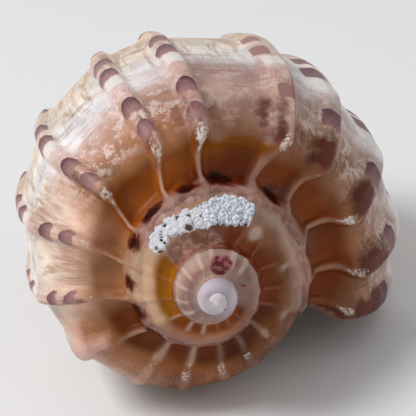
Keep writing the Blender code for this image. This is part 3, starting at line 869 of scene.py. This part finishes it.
def finishMesh(mesh, name, log, fields):
    data = smoothMesh(mesh, name)
    turn, column, kind = (np.concatenate([entry[k] for entry in log]) for k in range(3))
    points = np.empty(len(data.vertices) * 3)
    data.vertices.foreach_get("co", points)
    tone, masks = fields(turn, column, kind, points.reshape(-1, 3))
    tone = np.column_stack([np.clip(tone, 0, 1), np.ones(len(tone))])
    data.attributes.new("tone", "FLOAT_COLOR", "POINT").data.foreach_set("color", tone.ravel())
    for label, values in masks.items():
        layer = data.attributes.new(label, "FLOAT", "POINT")
        layer.data.foreach_set("value", np.asarray(values, dtype=float))
    corners = np.empty(len(data.loops), dtype=int)
    data.loops.foreach_get("vertex_index", corners)
    layer = data.uv_layers.new(name="coil")
    layer.data.foreach_set("uv", np.column_stack([turn[corners], column[corners]]).ravel())
    made = placed(name, data)
    weld(made)
    return made


# How fine the shell is. Stretches of turns, columns or shares: from, to, number of steps
shellSteps = {
    "spire": ((coil["firstTurn"], -3.4, 44), (-3.4, -2.5, 90), (-2.5, -1.25, 250), (-1.25, -1.0, 80)),
    "onRib": 0.42,  # degrees between the rows of the last whorl
    "betweenRibs": 1.1,
    "upper": ((0, 1.2, 13), (1.2, 3.6, 20), (3.6, 7, 24)),
    "lower": ((7, 10, 24), (10, 16, 34)),
    "insideTurns": ((-1.78, -1.0, 110),),
    "insideColumns": ((7, 16, 40),),
    "hollowTurns": ((-coil["hollowTurns"], 0, 110),),
    "hollowColumns": ((0, 16, 60),),
    "rim": ((0, 1, 6),),
    "pillarTurns": ((-coil["hollowTurns"], 1.0, 180),),
    "pillarShares": ((0, 1, 14),),
}


def spread(name):
    # one list of turns or columns from several stretches, each with its own number of steps
    parts = shellSteps[name]
    found = []
    for first, last, steps in parts:
        found += list(np.linspace(first, last, steps, endpoint=False))
    return np.array(found + [parts[-1][1]])


def ribbedTurns():
    # the last whorl's rows stand close together on the ribs, and further apart between them
    found = [0.0]
    while found[-1] < 360:
        here = found[-1]
        onRib = any(rib[0] + min(0, rib[4]) - 3 < here < rib[0] + max(0, rib[4]) + 2.5 for rib in ribs)
        found.append(here + shellSteps["onRib" if onRib else "betweenRibs"])
    found[-1] = 360
    return -np.array(found[::-1]) / 360


def makeShell():
    mesh = bmesh.new()
    log = []
    bodyTurns, upper, lower = ribbedTurns(), spread("upper"), spread("lower")
    allTurns = np.concatenate([spread("spire")[:-1], bodyTurns])
    addSheet(mesh, allTurns, upper, skinAt, 0, log)
    addSheet(mesh, bodyTurns, lower, skinAt, 0, log)
    addSheet(mesh, spread("insideTurns"), spread("insideColumns"), skinAt, 1, log)
    addSheet(mesh, spread("hollowTurns"), spread("hollowColumns"), innerAt, 1, log)
    addSheet(mesh, spread("rim"), np.concatenate([upper[:-1], lower]), rimAt, 2, log)
    addSheet(mesh, spread("pillarTurns"), spread("pillarShares"), pillarAt, 1, log)
    made = finishMesh(mesh, "harpShell", log, shellFields)
    made.data.materials.append(shellGlaze())
    print("shell:", len(made.data.polygons), "faces")
    return made


crust = {
    "outline": (  # turn, nearest and furthest column
        (-1.470, 3.2, 3.8), (-1.445, 2.8, 4.4), (-1.417, 3.1, 4.6), (-1.368, 2.6, 4.3), (-1.325, 2.4, 4.2),
        (-1.300, 2.6, 4.8), (-1.258, 2.5, 5.0), (-1.238, 2.8, 4.8), (-1.220, 3.1, 4.0),
    ),
    "ragged": 0.3,  # columns
    "thick": 0.00075,
    "sunk": 0.00018,  # how deep its edge sits in the shell
    "sunkMiddle": 0.00012,  # how much deeper the middle of its underside is
    "bubbles": 1700,  # cells in a metre on the older half
    "scales": 2300,  # cells in a metre on the younger half
    "openFrom": 0.36,  # bubbles whose chance is above this are open
    "steps": (200, 64),
    "lime": (0.75, 0.79, 0.87),
    "limePale": (0.88, 0.89, 0.92),
    "chalky": (0.70, 0.69, 0.72),
    "crack": (0.46, 0.49, 0.57),
    "hole": (0.17, 0.095, 0.055),
    "roughness": (0.6, 0.85),
    "bumpStrength": 0.4,
    "bumpDistance": 0.0001,
}


def crustPlace(along, across):
    # a point of the shell under the crust, and the way out from there
    outline = np.array(crust["outline"])
    places = np.linspace(0, 1, len(outline))
    near, far = np.interp(along, places, outline[:, 1]), np.interp(along, places, outline[:, 2])
    wobble = np.array([
        noise.noise(Vector((share * 22, 0, 3))) + 0.7 * noise.noise(Vector((share * 55, 0, 9)))
        for share in along.tolist()
    ])
    near, far = near + crust["ragged"] * wobble - 0.05, far - crust["ragged"] * wobble[::-1] + 0.05
    turn = np.interp(along, places, outline[:, 0])
    column = near + (far - near) * across
    points = skinAt(turn, column)
    ahead = skinAt(turn + 0.003, column) - skinAt(turn - 0.003, column)
    down = skinAt(turn, column + 0.1) - skinAt(turn, column - 0.1)
    normal = np.cross(ahead, down)
    edge = ease(0, 0.14, across) * ease(1, 0.86, across) * ease(0, 0.03, along) * ease(1, 0.97, along)
    return points, normal / np.linalg.norm(normal, axis=1)[:, None], edge


def crustCell(point, scaly):
    # how high the crust is at a point, and how much of a crack and of a hole is there
    scale = crust["scales"] if scaly else crust["bubbles"]
    apart, cells = noise.voronoi(Vector(point) * scale, distance_metric="DISTANCE")
    gap = apart[1] - apart[0]
    chance = noise.cell(cells[0] * 7.3)
    rounded = min(1.0, gap / 0.45)
    if scaly:
        return 0.62 + 0.38 * rounded ** 0.5 + 0.22 * chance, 1 - min(1.0, gap / 0.16), 0.0
    opened = 1.0 if chance > crust["openFrom"] else 0.0
    deep = opened * min(1.0, max(0.0, (gap - 0.10) / 0.2))
    high = 0.80 + 0.15 * (1 - rounded) * opened + 0.2 * rounded * (1 - opened) - 0.75 * deep
    return high, 0.4 * (1 - rounded) * (1 - opened), deep


def limeCells():
    made, tree, shader = newMaterial("limeCells")
    coords = tree.nodes.new("ShaderNodeTexCoord").outputs["Object"]
    grain = noiseOf(tree, coords, 4200, 3, 0.6)
    colour = mixOf(tree, rangeOf(tree, grain, 0.35, 0.7, 0, 0.5), crust["lime"], crust["limePale"])
    colour = mixOf(tree, attributeOf(tree, "bubbly"), colour, crust["chalky"])
    colour = mixOf(tree, attributeOf(tree, "crack"), colour, crust["crack"])
    colour = mixOf(tree, rangeOf(tree, attributeOf(tree, "hole"), 0.15, 0.6), colour, crust["hole"])
    put(tree, shader.inputs["Base Color"], colour)
    put(tree, shader.inputs["Roughness"], rangeOf(tree, grain, 0.3, 0.7, *crust["roughness"]))
    bumped(tree, shader, grain, crust["bumpStrength"], crust["bumpDistance"])
    return made


def makeCrust():
    marks = {}

    def top(along, across):
        points, normal, edge = crustPlace(along, across)
        scaly = ease(0.42, 0.58, along)
        cells = [crustCell(point, share > 0.5) for point, share in zip(points.tolist(), scaly)]
        high, marks["crack"], marks["hole"] = np.array(cells).T
        marks["bubbly"] = 1 - scaly
        lift = -crust["sunk"] + (crust["thick"] * high + crust["sunk"]) * edge
        return points + normal * lift[:, None]

    def under(along, across):
        points, normal, edge = crustPlace(along, across)
        return points - normal * (crust["sunk"] + crust["sunkMiddle"] * edge)[:, None]

    def crustFields(turn, column, kind, points):
        blank = np.zeros(len(turn) - len(marks["hole"]))
        tone = np.tile(crust["lime"], (len(turn), 1))
        return tone, {name: np.concatenate([values, blank]) for name, values in marks.items()}

    mesh = bmesh.new()
    log = []
    rows, columns = (np.linspace(0, 1, count + 1) for count in crust["steps"])
    addSheet(mesh, rows, columns, top, 0, log)
    addSheet(mesh, rows, columns, under, 1, log)
    made = finishMesh(mesh, "limeCrust", log, crustFields)
    made.data.materials.append(limeCells())
    print("crust:", len(made.data.polygons), "faces")
    return made


sweep = {
    "front": -1.1,  # where it starts, in metres from the shell
    "length": 2.6,
    "bendAt": 0.35,
    "bendRadius": 0.5,
    "halfWide": 2.2,
    "segments": (8, 60),
    "paper": (0.80, 0.80, 0.81, 1),
    "roughness": 0.85,
}


def makeStage():
    mesh = bmesh.new()
    bmesh.ops.create_grid(mesh, x_segments=sweep["segments"][0], y_segments=sweep["segments"][1], size=1.0)
    radius = sweep["bendRadius"]
    for vert in mesh.verts:
        away = (vert.co.y + 1) / 2 * sweep["length"] + sweep["front"]
        bend = max(0.0, away - sweep["bendAt"])
        angle = min(bend / radius, math.pi / 2)
        rise = radius * (1 - math.cos(angle)) + max(0.0, bend - radius * math.pi / 2)
        vert.co = (vert.co.x * sweep["halfWide"], min(away, sweep["bendAt"]) + radius * math.sin(angle), rise)
    made = placed("paleSweep", smoothMesh(mesh, "paleSweep"))
    finish, tree, shader = newMaterial("palePaper")
    shader.inputs["Base Color"].default_value = sweep["paper"]
    shader.inputs["Roughness"].default_value = sweep["roughness"]
    made.data.materials.append(finish)


view = {
    "toCamera": (-0.15671, 0.31536, 0.93595),  # from the shell's tip, in the coil's own directions
    "up": (0.05208, 0.94897, -0.31103),
    "distance": 0.2522,
    "frame": 416,  # pixels
    "focal": 2083.0,  # in those pixels
    "tipPixel": (216.5, 303.7),
    "sensor": 36,
}


def makeCamera():
    turn = lie.to_3x3()
    back = turn @ Vector(view["toCamera"])
    up = turn @ Vector(view["up"])
    right = up.cross(back)
    at = Vector(coil["tipAt"]) + back * view["distance"]
    middle = view["frame"] / 2
    offX = (middle - view["tipPixel"][0]) / view["focal"]
    offY = (view["tipPixel"][1] - middle) / view["focal"]
    ahead = (right * offX + up * offY - back).normalized()
    side = ahead.cross(up).normalized()
    above = side.cross(ahead)
    data = bpy.data.cameras.new("photoView")
    data.sensor_width = view["sensor"]
    data.lens = view["sensor"] * view["focal"] / view["frame"]
    data.clip_start = 0.01
    made = placed("photoView", data)
    made.matrix_world = Matrix.Translation(at) @ Matrix((side, above, -ahead)).transposed().to_4x4()
    bpy.context.scene.camera = made
    return side, above, -ahead


# Each lamp: metres to the right of the shell, above it and nearer the camera, its width, and watts
lamps = {
    "keySoft": (-0.58, 0.50, 0.34, 0.35, 4.7),
    "fillSoft": (0.9, 0.15, 0.35, 0.8, 2.0),
}
room = {
    "middle": (0, -0.01, 0.02),  # what the lamps point at
    "colour": (1, 1, 1, 1),
    "strength": 0.45,
}


def makeLights(right, up, back):
    for name, (sideways, above, nearer, size, power) in lamps.items():
        offset = right * sideways + up * above + back * nearer
        data = bpy.data.lights.new(name, "AREA")
        data.size = size
        data.energy = power
        made = placed(name, data)
        made.location = Vector(room["middle"]) + offset
        made.rotation_euler = offset.to_track_quat("Z", "Y").to_euler()
    world = bpy.data.worlds.new("softRoom")
    world.use_nodes = True
    background = world.node_tree.nodes["Background"]
    background.inputs["Color"].default_value = room["colour"]
    background.inputs["Strength"].default_value = room["strength"]
    bpy.context.scene.world = world
    bpy.context.scene.view_settings.view_transform = "Standard"


makeLights(*makeCamera())
makeStage()
print("stage, camera and lights are set")
shell = makeShell()
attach(shell, "root")
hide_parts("shell")
crustPiece = makeCrust()
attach(crustPiece, "root")
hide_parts("white_crust")
